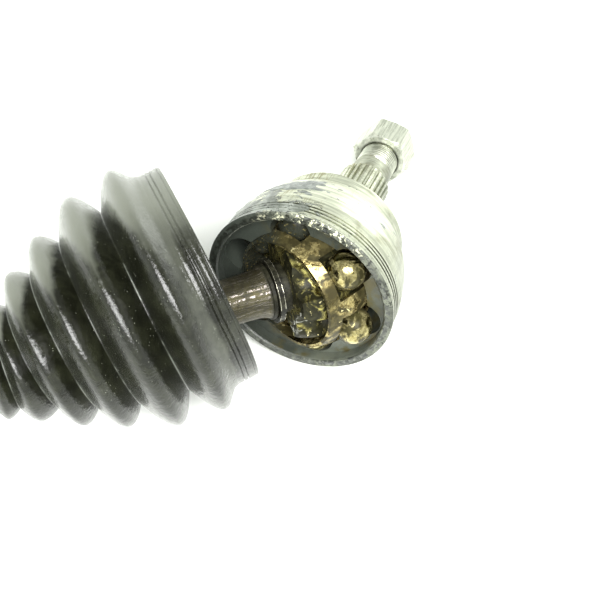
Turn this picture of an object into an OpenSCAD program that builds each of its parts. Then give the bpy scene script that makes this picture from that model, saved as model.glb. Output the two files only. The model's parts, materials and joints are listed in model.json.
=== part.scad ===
// Half shaft of a front wheel drive car, with its outer fixed ball joint bent
// and its outer boot loose and pushed back along the bar. Millimetres, +Z up.
// The bar lies along X. The origin is the middle of the oil seal journal of the
// inner joint, on the bar's axis.

/* [Drive shaft] */
// Distance between the centres of the two joints
joint_spacing = 328; // [320:1:400]
// Diameter of the plain bar
bar_d = 21; // [20:0.5:22]
// Diameter of the splined ends of the bar
bar_spline_d = 23; // [22:0.5:24]

/* [Outer joint] */
// Angle that the outer joint is bent to
bend = 44.2; // [0:0.1:46]
// How far the plane of the bend leans out of the horizontal
bend_lean = 20.3; // [0:0.1:25]
// Largest diameter of the bell
bell_d = 88; // [87:0.5:90]
// Diameter of the balls
ball_d = 17; // [16.5:0.1:17]
// Radius of the circle that the ball centres lie on
ball_circle_r = 30; // [29.8:0.1:30.2]
// Turning position of the ball tracks about the joint's axis
track_phase = 11; // [0:1:59]
// Diameter of the neck that the wheel hub seats against
neck_d = 66; // [60:1:68]

/* [Outer stub] */
// Diameter over the spline teeth
spline_d = 26; // [25:0.5:27]
// Number of spline teeth
spline_teeth = 26; // [20:1:30]
// Width across the flats of the axle nut
nut_flats = 27; // [27:1:30]
// Height of the axle nut
nut_height = 17; // [14:1:18]
// How far the nut is turned on its thread
nut_turn = 42.5; // [0:0.5:59.5]

/* [Outer boot] */
// Radius of the largest fold
boot_fold_r = 55; // [52:0.5:56]
// Wall thickness of the rubber
boot_wall = 2.6; // [2:0.1:3]
// Angle that the loose boot leans away from the bar
boot_lean = 13.8; // [8:0.1:14]

/* [Inner joint] */
// Diameter of the tripod rollers
roller_d = 34; // [33:0.5:34]
// Distance from the axis to the middle of each roller
roller_circle_r = 25; // [24.5:0.1:25.5]
// Diameter of the oil seal journal
journal_d = 40; // [36:1:44]

/* [Hidden] */
$fn = 96;
eps = 0.01;

// Outer joint, measured from its centre along the bell's axis
half_bend = bend / 2;
bell_r = bell_d / 2;
rim_x = -11;
mouth_r = bell_r - 4.4;
mouth_x1 = -5.5;
neck_r = neck_d / 2;
neck_x0 = 31;
neck_x1 = 38;
spline_x1 = 79;
thread_x0 = 91;
thread_x1 = 122;
thread_r = 9.7;
nut_x0 = 102.5;
nut_bore_r = thread_r + 0.05;
ball_r = ball_d / 2;
track_r = ball_r + 0.8;
cage_r = ball_circle_r + 0.7;
cage_half = 13.9;
cage_bore_r = 26;
cage_wall_r = cage_r - 3.95;
bell_bore_r = cage_r + 0.25;
race_r = cage_wall_r - 0.25;
race_half = 12;
stop_ring_r = 15;
stop_ring_x0 = -18.9;
stop_ring_w = 2.4;
window_half = ball_r + 0.05;
window_width = 21;

// Clamp groove rings cut in the bell near its rim
ring_groove_x = [-6.6, -4.7, -2.8];
ring_groove_w = 0.9;
ring_groove_depth = 0.55;

// Stations along X
trunnion_x = 49;
outer_x = trunnion_x + joint_spacing;
bar_r = bar_d / 2;
end_r = bar_spline_d / 2;

// Inner joint
journal_r = journal_d / 2;
journal_half = 7;
housing_x1 = 79;
land_x0 = 61;
land_r = 40.3;
lobe_r = 43;
cavity_x0 = 13;
cavity_core_r = 19;
roller_r = roller_d / 2;
roller_half = 6.5;
roller_bore_r = 11.5;
roller_track_r = roller_r + 0.6;
track_floor = 35.3;
trunnion_r = 9;
trunnion_base_r = 9.9;
trunnion_end = 33.8;
needle_r = 1.22;
needle_circle_r = trunnion_r + needle_r + 0.03;
needle_count = 26;
clip_r0 = 31.75;
clip_t = 1.2;
spider_half = 10;
spider_r = 17;
stub_x1 = -52;

// Boots and clamps
clamp_t = 1;
collar_r = 43;
small_seat_x = 160;
small_seat_r = 12;
small_neck_r = 15.4;

// ---- placing ----

// Turns a profile of [x along the axis, radius] points about the X axis
module turned(profile) {
    rotate([0, 90, 0])
        rotate_extrude()
            polygon([for (p = profile) [p[1], p[0]]]);
}

// A round bar along X from x0 to x1
module rod(r, x0, x1) {
    translate([x0, 0, 0])
        rotate([0, 90, 0])
            cylinder(r = r, h = x1 - x0);
}

// A flat ring along X from x0 to x1
module ring(r_in, r_out, x0, x1) {
    difference() {
        rod(r_out, x0, x1);
        rod(r_in, x0 - 1, x1 + 1);
    }
}

// An open circlip: a ring with a gap on top
module circlip(r_in, r_out, x0, x1, gap) {
    difference() {
        ring(r_in, r_out, x0, x1);
        translate([x0 - 1, -gap / 2, 0])
            cube([x1 - x0 + 2, gap, r_out + 1]);
    }
}

// The plane that the outer joint bends in
module at_outer_joint() {
    translate([outer_x, 0, 0])
        rotate([-bend_lean, 0, 0])
            children();
}

// The cage stands half way between the bar and the bell
module at_cage() {
    at_outer_joint()
        rotate([0, 0, half_bend])
            children();
}

module at_bell() {
    at_outer_joint()
        rotate([0, 0, bend])
            children();
}

// One of the three trunnions: its axis becomes +Z, with the middle of the bar at z = 0
module at_trunnion(i) {
    translate([trunnion_x, 0, 0])
        rotate([120 * (i - 1), 0, 0])
            children();
}

// ---- splines ----

// Section of a splined bar with straight sided teeth
function spline_outline(r_tip, r_root, teeth) = [
    for (i = [0 : teeth - 1])
        for (c = [[-0.34, r_root], [-0.2, r_tip], [0.2, r_tip], [0.34, r_root]])
            let (a = (i + c[0]) * 360 / teeth)
                [c[1] * cos(a), c[1] * sin(a)]
];

// A splined length along X whose tooth ends are chamfered at x0 and at x1
module splined_rod(r_tip, r_root, teeth, x0, x1, chamfer0, chamfer1) {
    intersection() {
        translate([x0, 0, 0])
            rotate([0, 90, 0])
                linear_extrude(height = x1 - x0)
                    polygon(spline_outline(r_tip, r_root, teeth));
        turned([
            [x0 - 1, 0],
            [x0 - 1, r_tip - chamfer0 - 1],
            [x0 + chamfer0, r_tip + eps],
            [x1 - chamfer1, r_tip + eps],
            [x1 + 1, r_tip - chamfer1 - 1],
            [x1 + 1, 0]
        ]);
    }
}

// ---- outer joint ----

// Angle about the joint's axis at which track i lies, from the hinge axis
function track_angle(i) = track_phase + 60 * i;

// How far round the cage a ball in the track at angle a moves when the joint bends
function bend_shift(a) = atan2(sin(a) / cos(half_bend), cos(a)) - a;

// Each ball stands in the middle of its small travel round the cage
function ball_angle(i) =
    let (a = track_angle(i), shift = bend_shift(a))
        a + (shift < -180 ? shift + 360 : shift) / 2;

// One ball track: part of a torus whose middle line is an arc about the joint's centre
module ball_track(i) {
    rotate([-track_angle(i), 0, 0])
        rotate([90, 0, 0])
            rotate([0, 0, 90 - 46])
                rotate_extrude(angle = 92)
                    translate([ball_circle_r, 0])
                        circle(r = track_r);
}

module outer_joint_bell() {
    color([0.72, 0.73, 0.7])
        at_bell()
            difference() {
                union() {
                    turned([
                        [rim_x, 0],
                        [rim_x, bell_r - 0.6],
                        [rim_x + 0.6, bell_r],
                        [rim_x + 1.8, bell_r],
                        [rim_x + 2.4, bell_r - 0.7],
                        [3, bell_r - 0.7],
                        [9, bell_r - 1.7],
                        [15, bell_r - 3],
                        [19, bell_r - 4.2],
                        [22.5, bell_r - 5.6],
                        [26, bell_r - 7.8],
                        [neck_x0 - 1.4, neck_r + 1.4],
                        [neck_x0 - 0.2, neck_r + 0.2],
                        [neck_x0 + 0.4, neck_r],
                        [neck_x1 - 0.8, neck_r],
                        [neck_x1, neck_r - 0.8],
                        [neck_x1, 0]
                    ]);
                    splined_rod(spline_d / 2, spline_d / 2 - 1.1, spline_teeth,
                        neck_x1 - 1, spline_x1, 0, 1.1);
                    turned([
                        [neck_x1 - 1, 0],
                        [neck_x1 - 1, spline_d / 2 - 1.2],
                        [spline_x1 + 0.4, spline_d / 2 - 1.2],
                        [spline_x1 + 3.4, thread_r + 0.5],
                        [thread_x0 - 1.6, thread_r + 0.5],
                        [thread_x0 - 1.1, thread_r - 0.9],
                        [thread_x0, thread_r - 0.9],
                        [thread_x0 + 0.9, thread_r],
                        [thread_x1 - 1.2, thread_r],
                        [thread_x1, thread_r - 1.2],
                        [thread_x1, 0]
                    ]);
                }
                bell_mouth();
                bell_socket();
                for (i = [0 : 5])
                    ball_track(i);
                for (x = ring_groove_x)
                    ring(bell_r - 0.7 - ring_groove_depth, bell_r + 2, x, x + ring_groove_w);
            }
}

// The mouth of the bell, with a chamfer at its edge
module bell_mouth() {
    turned([
        [rim_x - 1, 0],
        [rim_x - 1, mouth_r + 1.7],
        [rim_x + 0.7, mouth_r],
        [mouth_x1, mouth_r - 0.4],
        [mouth_x1, 0]
    ]);
}

// The round socket that the cage turns in
module bell_socket() {
    intersection() {
        sphere(r = bell_bore_r);
        rod(bell_bore_r + 1, -20, 27);
    }
}

module outer_joint_cage() {
    color([0.45, 0.34, 0.16])
        at_cage()
            difference() {
                intersection() {
                    sphere(r = cage_r);
                    rod(cage_r + 1, -cage_half, cage_half);
                }
                sphere(r = cage_wall_r);
                rod(cage_bore_r, -cage_half - 1, 0);
                for (i = [0 : 5])
                    rotate([-ball_angle(i), 0, 0])
                        translate([-window_half, -window_width / 2, cage_wall_r - 8])
                            cube([2 * window_half, window_width, 20]);
            }
}

module outer_joint_inner_race() {
    color([0.4, 0.31, 0.16])
        at_outer_joint()
            difference() {
                intersection() {
                    sphere(r = race_r);
                    rod(race_r + 1, -race_half, race_half);
                }
                rod(end_r, -race_half - 1, race_half + 1);
                ring(end_r - 1, end_r + 1.3, 6.9, 9.1);
                for (i = [0 : 5])
                    ball_track(i);
            }
}

module ball(i) {
    color([0.6, 0.5, 0.25])
        at_cage()
            rotate([-ball_angle(i - 1), 0, 0])
                translate([0, 0, ball_circle_r])
                    sphere(r = ball_r);
}

module race_stop_ring() {
    color([0.35, 0.33, 0.28])
        at_outer_joint()
            ring(end_r, stop_ring_r, stop_ring_x0, stop_ring_x0 + stop_ring_w);
}

module race_snap_ring() {
    color([0.4, 0.38, 0.34])
        at_outer_joint()
            circlip(end_r - 1, end_r + 1.1, 7.1, 8.9, 4);
}

module axle_nut() {
    corner_r = nut_flats / 2 / cos(30);
    nut_x1 = nut_x0 + nut_height;
    color([0.66, 0.67, 0.63])
        at_bell()
            difference() {
                intersection() {
                    translate([nut_x0, 0, 0])
                        rotate([nut_turn, 0, 0])
                            rotate([0, 90, 0])
                                cylinder(r = corner_r, h = nut_height, $fn = 6);
                    turned([
                        [nut_x0, 0],
                        [nut_x0, nut_flats / 2 - 0.3],
                        [nut_x0 + 1.4, corner_r + 0.2],
                        [nut_x1 - 1.6, corner_r + 0.2],
                        [nut_x1, nut_flats / 2 - 0.6],
                        [nut_x1, 0]
                    ]);
                }
                rod(nut_bore_r, nut_x0 - 1, nut_x1 + 1);
                turned([
                    [nut_x0 - 1, 0],
                    [nut_x0 - 1, nut_bore_r + 1.6],
                    [nut_x0 + 0.9, nut_bore_r - 0.3],
                    [nut_x0 + 0.9, 0]
                ]);
            }
}

// ---- shaft ----

module drive_shaft() {
    bar_x0 = trunnion_x - 13;
    flare_x = outer_x - 20;
    color([0.5, 0.42, 0.3])
        difference() {
            turned([
                [bar_x0, 0],
                [bar_x0, end_r - 1],
                [bar_x0 + 1, end_r],
                [trunnion_x + 16, end_r],
                [trunnion_x + 20, bar_r],
                [small_seat_x - 12, bar_r],
                [small_seat_x - 10, small_seat_r],
                [small_seat_x + 10, small_seat_r],
                [small_seat_x + 12, bar_r],
                [outer_x - 112, bar_r],
                [outer_x - 110, small_seat_r],
                [outer_x - 103, small_seat_r],
                [outer_x - 102, small_seat_r - 1],
                [outer_x - 98, small_seat_r - 1],
                [outer_x - 97, small_seat_r],
                [outer_x - 90, small_seat_r],
                [outer_x - 88, bar_r],
                [flare_x - 14, bar_r],
                [flare_x - 6, bar_r + 0.3],
                [flare_x - 3, bar_r + 0.9],
                [flare_x - 1.2, bar_r + 1.8],
                [flare_x - 0.8, 13],
                [flare_x + 0.6, 13],
                [flare_x + 0.6, end_r],
                [outer_x + race_half + 1, end_r],
                [outer_x + race_half + 2, end_r - 1],
                [outer_x + race_half + 2, 0]
            ]);
            ring(end_r - 1, end_r + 2, outer_x + 6.9, outer_x + 9.1);
            ring(end_r - 1, end_r + 2, trunnion_x - 12, trunnion_x - 10);
            ring(end_r - 1, end_r + 2, trunnion_x + 10, trunnion_x + 12);
        }
}

// ---- outer boot ----

// Folds of the outer boot: [distance along the boot's axis, radius]
boot_outline = [
    [-4, boot_fold_r - 36],
    [2.2, boot_fold_r - 29.2],
    [8.4, boot_fold_r - 32],
    [15.2, boot_fold_r - 19.8],
    [22.6, boot_fold_r - 24.5],
    [30.7, boot_fold_r - 11.4],
    [38.6, boot_fold_r - 18],
    [49.4, boot_fold_r - 2.6],
    [58.9, boot_fold_r - 13.9],
    [69.2, boot_fold_r],
    [77.6, boot_fold_r - 7],
    [87.7, boot_fold_r - 7]
];

// Where the boot's axis crosses the bar's axis
boot_hinge_x = outer_x - 130.6;

function inset(profile, wall) = [for (p = profile) [p[0], p[1] - wall]];
function reversed(list) = [for (i = [len(list) - 1 : -1 : 0]) list[i]];

module at_boot() {
    translate([boot_hinge_x, 0, 0])
        rotate([-bend_lean, 0, 0])
            rotate([0, -boot_lean, 0])
                children();
}

module outer_boot() {
    last = boot_outline[len(boot_outline) - 1];
    first = boot_outline[0];
    neck = [
        [-30, 11.2], [-30, 14.6], [-15, 14.6], [-12.5, 16],
        [-8, 20.5], [-3.5, 17.5], [2, 20.5]
    ];
    color([0.12, 0.13, 0.12])
        difference() {
            union() {
                at_boot()
                    turned(concat([[first[0], 0]], boot_outline, [[last[0], 0]]));
                translate([boot_hinge_x, 0, 0])
                    turned(concat([[-30, 0]], neck, [[2, 0]]));
            }
            at_boot()
                turned(concat(
                    [[first[0] + 1, 0]],
                    inset(boot_outline, boot_wall),
                    [[last[0] + 1, last[1] - boot_wall], [last[0] + 1, 0]]
                ));
            translate([boot_hinge_x, 0, 0])
                turned([
                    [-31, 0], [-31, 11], [-14, 11], [-11.5, 13.4],
                    [-8, 17.6], [-3.5, 14.9], [3, 17.6], [6, 16], [6, 0]
                ]);
        }
}

// ---- inner joint ----

module inner_joint_housing() {
    color([0.5, 0.49, 0.45])
        difference() {
            union() {
                turned([
                    [-journal_half - 8, 0],
                    [-journal_half - 8, 16],
                    [-journal_half, 16],
                    [-journal_half, journal_r],
                    [journal_half, journal_r],
                    [journal_half, 27],
                    [journal_half + 1.5, 32],
                    [journal_half + 5.5, lobe_r - 3],
                    [journal_half + 9, lobe_r - 0.8],
                    [journal_half + 11, lobe_r],
                    [land_x0 - 3, lobe_r],
                    [land_x0, land_r],
                    [housing_x1 - 1, land_r],
                    [housing_x1, land_r - 1],
                    [housing_x1, 0]
                ]);
                splined_rod(spline_d / 2, spline_d / 2 - 1.1, spline_teeth,
                    stub_x1, -journal_half - 7, 1.2, 0);
            }
            for (i = [1 : 3])
                rotate([120 * (i - 1) + 60, 0, 0])
                    translate([journal_half + 8, 0, 62])
                        rod(26, 0, land_x0 - journal_half - 16);
            translate([cavity_x0, 0, 0])
                tulip_cavity(housing_x1 - cavity_x0 + 1);
            turned([
                [housing_x1 - 10, 0],
                [housing_x1 - 10, cavity_core_r],
                [housing_x1 + 1, 24.4],
                [housing_x1 + 1, 0]
            ]);
            ring(spline_d / 2 - 2, spline_d, stub_x1 + 5, stub_x1 + 7);
        }
}

// Section of the three roller tracks, run along X
module tulip_cavity(length) {
    rotate([0, 90, 0])
        linear_extrude(height = length)
            union() {
                circle(r = cavity_core_r);
                for (i = [0 : 2])
                    rotate(180 - 120 * i)
                        intersection() {
                            translate([roller_circle_r, 0])
                                circle(r = roller_track_r);
                            translate([0, -30])
                                square([track_floor, 60]);
                        }
            }
}

module stub_circlip() {
    color([0.42, 0.4, 0.36])
        circlip(spline_d / 2 - 2, spline_d / 2 - 0.2, stub_x1 + 5.2, stub_x1 + 6.8, 5);
}

module tripod_spider() {
    color([0.5, 0.48, 0.42])
        difference() {
            union() {
                translate([trunnion_x, 0, 0])
                    rod(spider_r, -spider_half, spider_half);
                for (i = [1 : 3])
                    at_trunnion(i) {
                        cylinder(r = trunnion_r, h = trunnion_end);
                        cylinder(r = trunnion_base_r, h = spider_r + 1.2);
                    }
            }
            translate([trunnion_x, 0, 0])
                rod(end_r, -spider_half - 1, spider_half + 1);
            for (i = [1 : 3])
                at_trunnion(i)
                    translate([0, 0, clip_r0])
                        difference() {
                            cylinder(r = trunnion_r + 1, h = clip_t);
                            translate([0, 0, -1])
                                cylinder(r = trunnion_r - 0.9, h = clip_t + 2);
                        }
        }
}

module roller(i) {
    color([0.55, 0.53, 0.47])
        at_trunnion(i)
            translate([0, 0, roller_circle_r])
                difference() {
                    intersection() {
                        sphere(r = roller_r);
                        translate([0, 0, -roller_half])
                            cylinder(r = roller_r + 1, h = 2 * roller_half);
                    }
                    translate([0, 0, -roller_half - 1])
                        cylinder(r = roller_bore_r, h = 2 * roller_half + 2);
                }
}

module needle_set(i) {
    needle_half = 5.6;
    color([0.6, 0.59, 0.55])
        at_trunnion(i)
            for (k = [0 : needle_count - 1])
                rotate([0, 0, k * 360 / needle_count])
                    translate([needle_circle_r, 0, roller_circle_r - needle_half])
                        cylinder(r = needle_r, h = 2 * needle_half, $fn = 24);
}

module roller_clip(i) {
    color([0.42, 0.4, 0.36])
        at_trunnion(i)
            translate([0, 0, clip_r0])
                difference() {
                    cylinder(r = 12.6, h = clip_t);
                    translate([0, 0, -1])
                        cylinder(r = trunnion_r - 0.9, h = clip_t + 2);
                    translate([0, -1.5, -1])
                        cube([20, 3, clip_t + 2]);
                }
}

module spider_circlip() {
    color([0.42, 0.4, 0.36])
        circlip(end_r - 1, end_r + 1.6, trunnion_x - 11.8, trunnion_x - 10.2, 5);
}

module spider_stop_ring() {
    color([0.42, 0.4, 0.36])
        circlip(end_r - 1, end_r + 1.6, trunnion_x + 10.2, trunnion_x + 11.8, 5);
}

// ---- inner boot ----

// Folds of the inner boot from its collar to its small neck: [x, radius]
inner_outline = [
    [land_x0 + 0.3, collar_r],
    [housing_x1 + 6, collar_r],
    [housing_x1 + 13, 38],
    [housing_x1 + 20, 43],
    [housing_x1 + 27, 31],
    [housing_x1 + 34, 38.5],
    [housing_x1 + 41, 26],
    [housing_x1 + 47, 33],
    [housing_x1 + 53, 21],
    [housing_x1 + 58, 26.5],
    [housing_x1 + 63, 17.5],
    [housing_x1 + 68, small_neck_r],
    [small_seat_x + 9, small_neck_r]
];

module inner_boot() {
    neck_x = housing_x1 + 66;
    folds = [for (p = inner_outline) if (p[0] > housing_x1 + 8 && p[0] < neck_x) p];
    collar_in = collar_r - boot_wall - 0.2;
    color([0.12, 0.13, 0.12])
        turned(concat(
            [[land_x0 + 0.3, land_r + 0.05]],
            inner_outline,
            [
                [small_seat_x + 9, small_seat_r + 0.05],
                [neck_x, small_seat_r + 0.05]
            ],
            reversed(inset(folds, boot_wall)),
            [
                [housing_x1 + 5, collar_in],
                [housing_x1 + 0.3, collar_in],
                [housing_x1 + 0.3, land_r + 0.05]
            ]
        ));
}

// A band clamp with a crimped ear on top
module clamp(r, x0, width) {
    ear = width * 0.7;
    difference() {
        union() {
            rod(r + clamp_t, x0, x0 + width);
            translate([x0 + (width - ear) / 2, -5.5, r])
                cube([ear, 11, 4.2]);
        }
        rod(r, x0 - 1, x0 + width + 1);
        translate([x0 - 1, -4, r + 0.9])
            cube([width + 2, 8, 2.4]);
    }
}

module inner_boot_large_clamp() {
    color([0.62, 0.62, 0.6])
        clamp(collar_r + 0.02, land_x0 + 5, 9);
}

module inner_boot_small_clamp() {
    color([0.62, 0.62, 0.6])
        clamp(small_neck_r + 0.02, small_seat_x - 5, 8);
}

drive_shaft();
outer_joint_bell();
outer_joint_cage();
outer_joint_inner_race();
ball(1);  // ball_1
ball(2);  // ball_2
ball(3);  // ball_3
ball(4);  // ball_4
ball(5);  // ball_5
ball(6);  // ball_6
race_stop_ring();
race_snap_ring();
axle_nut();
outer_boot();
inner_joint_housing();
stub_circlip();
tripod_spider();
roller(1);  // roller_1
roller(2);  // roller_2
roller(3);  // roller_3
needle_set(1);  // needle_set_1
needle_set(2);  // needle_set_2
needle_set(3);  // needle_set_3
roller_clip(1);  // roller_clip_1
roller_clip(2);  // roller_clip_2
roller_clip(3);  // roller_clip_3
spider_circlip();
spider_stop_ring();
inner_boot();
inner_boot_large_clamp();
inner_boot_small_clamp();
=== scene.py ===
"""The looks of a front half shaft: its outer joint stands open, with the boot pushed back."""

import json
import math

import bpy
from mathutils import Matrix, Vector, noise
from mathutils.bvhtree import BVHTree


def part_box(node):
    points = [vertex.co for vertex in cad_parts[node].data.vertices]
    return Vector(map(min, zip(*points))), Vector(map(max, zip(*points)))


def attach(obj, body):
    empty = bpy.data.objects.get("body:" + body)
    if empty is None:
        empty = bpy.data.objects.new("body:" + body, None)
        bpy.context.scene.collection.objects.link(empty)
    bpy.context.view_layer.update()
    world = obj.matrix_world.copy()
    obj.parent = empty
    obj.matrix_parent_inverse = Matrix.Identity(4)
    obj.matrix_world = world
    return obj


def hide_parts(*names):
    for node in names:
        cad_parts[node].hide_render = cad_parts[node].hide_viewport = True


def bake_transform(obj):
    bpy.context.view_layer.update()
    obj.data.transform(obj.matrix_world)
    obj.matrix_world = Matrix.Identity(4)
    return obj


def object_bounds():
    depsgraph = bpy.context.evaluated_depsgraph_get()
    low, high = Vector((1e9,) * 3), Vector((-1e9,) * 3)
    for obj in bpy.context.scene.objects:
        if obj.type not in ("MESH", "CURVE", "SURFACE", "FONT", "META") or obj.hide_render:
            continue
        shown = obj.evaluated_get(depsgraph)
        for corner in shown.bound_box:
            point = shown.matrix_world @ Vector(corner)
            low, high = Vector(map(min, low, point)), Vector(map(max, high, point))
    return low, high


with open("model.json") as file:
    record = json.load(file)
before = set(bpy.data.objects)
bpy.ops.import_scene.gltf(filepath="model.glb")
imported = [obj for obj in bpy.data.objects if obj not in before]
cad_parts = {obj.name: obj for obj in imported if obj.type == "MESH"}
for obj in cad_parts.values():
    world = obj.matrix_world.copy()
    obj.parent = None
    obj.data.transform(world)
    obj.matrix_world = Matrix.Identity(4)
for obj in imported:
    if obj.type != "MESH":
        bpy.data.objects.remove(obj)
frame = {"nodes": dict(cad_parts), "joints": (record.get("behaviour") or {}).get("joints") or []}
CAD_LOW, CAD_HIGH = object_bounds()
NODES = frame["nodes"]
JOINTS = {j["name"]: j for j in frame["joints"]}
MM = 0.001

# ---- the frame of each part ----

# Centre of the outer joint, the axis it bends about and the bell's own axis
CENTRE = Vector(JOINTS["outer_bend_cage"]["pos_m"])
HINGE = Vector(JOINTS["outer_bend_cage"]["axis"]).normalized()
BELL_X = Vector(JOINTS["nut_turn"]["axis"]).normalized()
BELL_Y = HINGE.cross(BELL_X).normalized()
BAR_X, BAR_Y, BAR_Z = Vector((1, 0, 0)), Vector((0, 1, 0)), Vector((0, 0, 1))
CAGE_X = (BAR_X + BELL_X).normalized()
CAGE_Y = HINGE.cross(CAGE_X).normalized()


def along(origin, x_axis, y_axis):
    """The matrix of a frame whose X axis is a part's own axis."""
    z_axis = x_axis.cross(y_axis)
    m = Matrix((x_axis, y_axis, z_axis)).transposed().to_4x4()
    m.translation = origin
    return m


BELL = along(CENTRE, BELL_X, BELL_Y)
CAGE = along(CENTRE, CAGE_X, CAGE_Y)
BAR = Matrix.Identity(4)


def side_of(part, degrees, reach=1.0):
    """The direction away from a part's axis at an angle round it. With a reach below 1, a
    dot product with it reaches less than 1 on that side."""
    a = math.radians(degrees)
    return tuple(part.to_3x3() @ Vector((0.0, math.cos(a), math.sin(a))) * reach)


# Where the grease, dirt and dust lie, and where painted shade, highlights, glints and sheen are put,
# as directions that are fixed to the parts
SMEAR_SIDE = side_of(BELL, 16, 0.82)
# The side on which the inside of the bell and the rim grit get painted shade
MOUTH_SHADE_SIDE = side_of(BELL, 11, 0.98)
# The side of the brown wear on the bell, where the rim's inner edge also gets a painted highlight
WORN_AND_HIGHLIGHT_SIDE = side_of(BELL, 68, 0.79)
# The side on which the grease on the bell's rim gets painted glints
GLINT_SIDE = side_of(BELL, 100)
# The direction round the bar near which the painted highlight lines run
HIGHLIGHT_LINE_WAY = side_of(BAR, -156)
# The side of each boot towards which the pale film of dust and painted sheen spreads
DUST_AND_SHEEN_ANGLE = 45
DUST_AND_SHEEN_REACH = 0.92
# A direction that is fixed to the cage, and the two distances along it, in metres from the
# joint's centre, between which the colour of the balls or the cage changes
DARKER_BALLS = side_of(CAGE, 38), 0.010, 0.016
DARKER_CAGE = tuple(CAGE.to_3x3() @ Vector((-0.70, 0.72, 0.0))), 0.012, 0.019
BROWN_CAGE = tuple(CAGE.to_3x3() @ Vector((0.21, -0.85, -0.48))), 0.006, 0.019
# The nut's inner face along the bell's axis, and the middle of the stop ring along the bar
NUT_HEIGHT = 17.0 * MM
NUT_FACE = (sum(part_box("axle_nut"), Vector()) / 2 - CENTRE).dot(BELL_X) - NUT_HEIGHT / 2
STOP_RING_MIDDLE = sum(corner.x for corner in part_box("race_stop_ring")) / 2

# ---- camera, floor and lights ----

# The camera that was fitted to the photograph, with its lens in millimetres
CAMERA_AT = Vector((0.25324, -0.16509, 0.34987))
CAMERA_RIGHT = Vector((0.916, -0.377, 0.137))
CAMERA_BACK = Vector((-0.291, -0.390, 0.873))
LENS = 54.0
FLOOR_Z = CAD_LOW.z
FLOOR_HALF = 3.0
# Sine of the height at which the walls end and the ceiling begins, and how bright each is
CEILING_BAND = (0.50, 0.64)
WALL_LIGHT = 1.3
CEILING_LIGHT = 0.43
ROOM_TINT = (0.965, 1.0, 0.955, 1.0)
# A low window beyond the stub end: the way to it, the cosines of the angles from that way
# at which its light starts and is full, and how much brighter than the wall it is
SIDE_WINDOW = Vector((0.86, 0.50, 0.08)).normalized()
SIDE_EDGE = (0.945, 0.985)
SIDE_LIGHT = 2.5
# The large window over the table, from the middle of the outer joint
LAMP_WAY = Vector((-0.22, -0.42, 0.88)).normalized()
LAMP_DISTANCE = 1.1
LAMP_AIM = CENTRE - BAR_X * 0.05
LAMP_SIZE = (0.95, 0.60)
LAMP_POWER = 28.5


def make_camera():
    data = bpy.data.cameras.new("camera")
    data.lens = LENS
    data.sensor_width = 36.0
    data.clip_start = 0.01
    back = CAMERA_BACK.normalized()
    right = (CAMERA_RIGHT - back * CAMERA_RIGHT.dot(back)).normalized()
    up = back.cross(right)
    m = Matrix((right, up, back)).transposed().to_4x4()
    m.translation = CAMERA_AT
    camera = bpy.data.objects.new("camera", data)
    camera.matrix_world = m
    bpy.context.scene.collection.objects.link(camera)
    bpy.context.scene.camera = camera


def make_light():
    """The large window: one area light."""
    data = bpy.data.lights.new("window", "AREA")
    data.shape = "RECTANGLE"
    data.size, data.size_y = LAMP_SIZE
    data.energy = LAMP_POWER
    light = bpy.data.objects.new("window", data)
    at = CENTRE + LAMP_WAY * LAMP_DISTANCE
    aim = (LAMP_AIM - at).to_track_quat("-Z", "Y").to_matrix().to_4x4()
    light.matrix_world = Matrix.Translation(at) @ aim
    bpy.context.scene.collection.objects.link(light)


def make_world():
    """A white room whose ceiling is dimmer than its walls, with a low window in one of them."""
    world = bpy.data.worlds.new("studio")
    world.use_nodes = True
    tree = world.node_tree
    background = tree.nodes["Background"]
    background.inputs["Color"].default_value = ROOM_TINT
    way = tree.nodes.new("ShaderNodeTexCoord")
    split = tree.nodes.new("ShaderNodeSeparateXYZ")
    ramp = tree.nodes.new("ShaderNodeMapRange")
    ramp.interpolation_type = "SMOOTHSTEP"
    tree.links.new(way.outputs["Generated"], split.inputs[0])
    tree.links.new(split.outputs["Z"], ramp.inputs["Value"])
    for socket, value in zip(ramp.inputs[1:5], (*CEILING_BAND, WALL_LIGHT, CEILING_LIGHT)):
        socket.default_value = value
    facing = tree.nodes.new("ShaderNodeVectorMath")
    facing.operation = "DOT_PRODUCT"
    facing.inputs[1].default_value = SIDE_WINDOW
    pane = tree.nodes.new("ShaderNodeMapRange")
    pane.interpolation_type = "SMOOTHSTEP"
    for socket, value in zip(pane.inputs[1:5], (*SIDE_EDGE, 0.0, SIDE_LIGHT)):
        socket.default_value = value
    total = tree.nodes.new("ShaderNodeMath")
    tree.links.new(way.outputs["Generated"], facing.inputs[0])
    tree.links.new(facing.outputs["Value"], pane.inputs["Value"])
    tree.links.new(ramp.outputs["Result"], total.inputs[0])
    tree.links.new(pane.outputs["Result"], total.inputs[1])
    tree.links.new(total.outputs["Value"], background.inputs["Strength"])
    bpy.context.scene.world = world


def new_object(name, vertices, faces, smooth=True):
    mesh = bpy.data.meshes.new(name)
    mesh.from_pydata([tuple(v) for v in vertices], [], faces)
    mesh.update()
    mesh.polygons.foreach_set("use_smooth", [smooth] * len(mesh.polygons))
    obj = bpy.data.objects.new(name, mesh)
    bpy.context.scene.collection.objects.link(obj)
    return obj


# ---- materials ----


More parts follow.
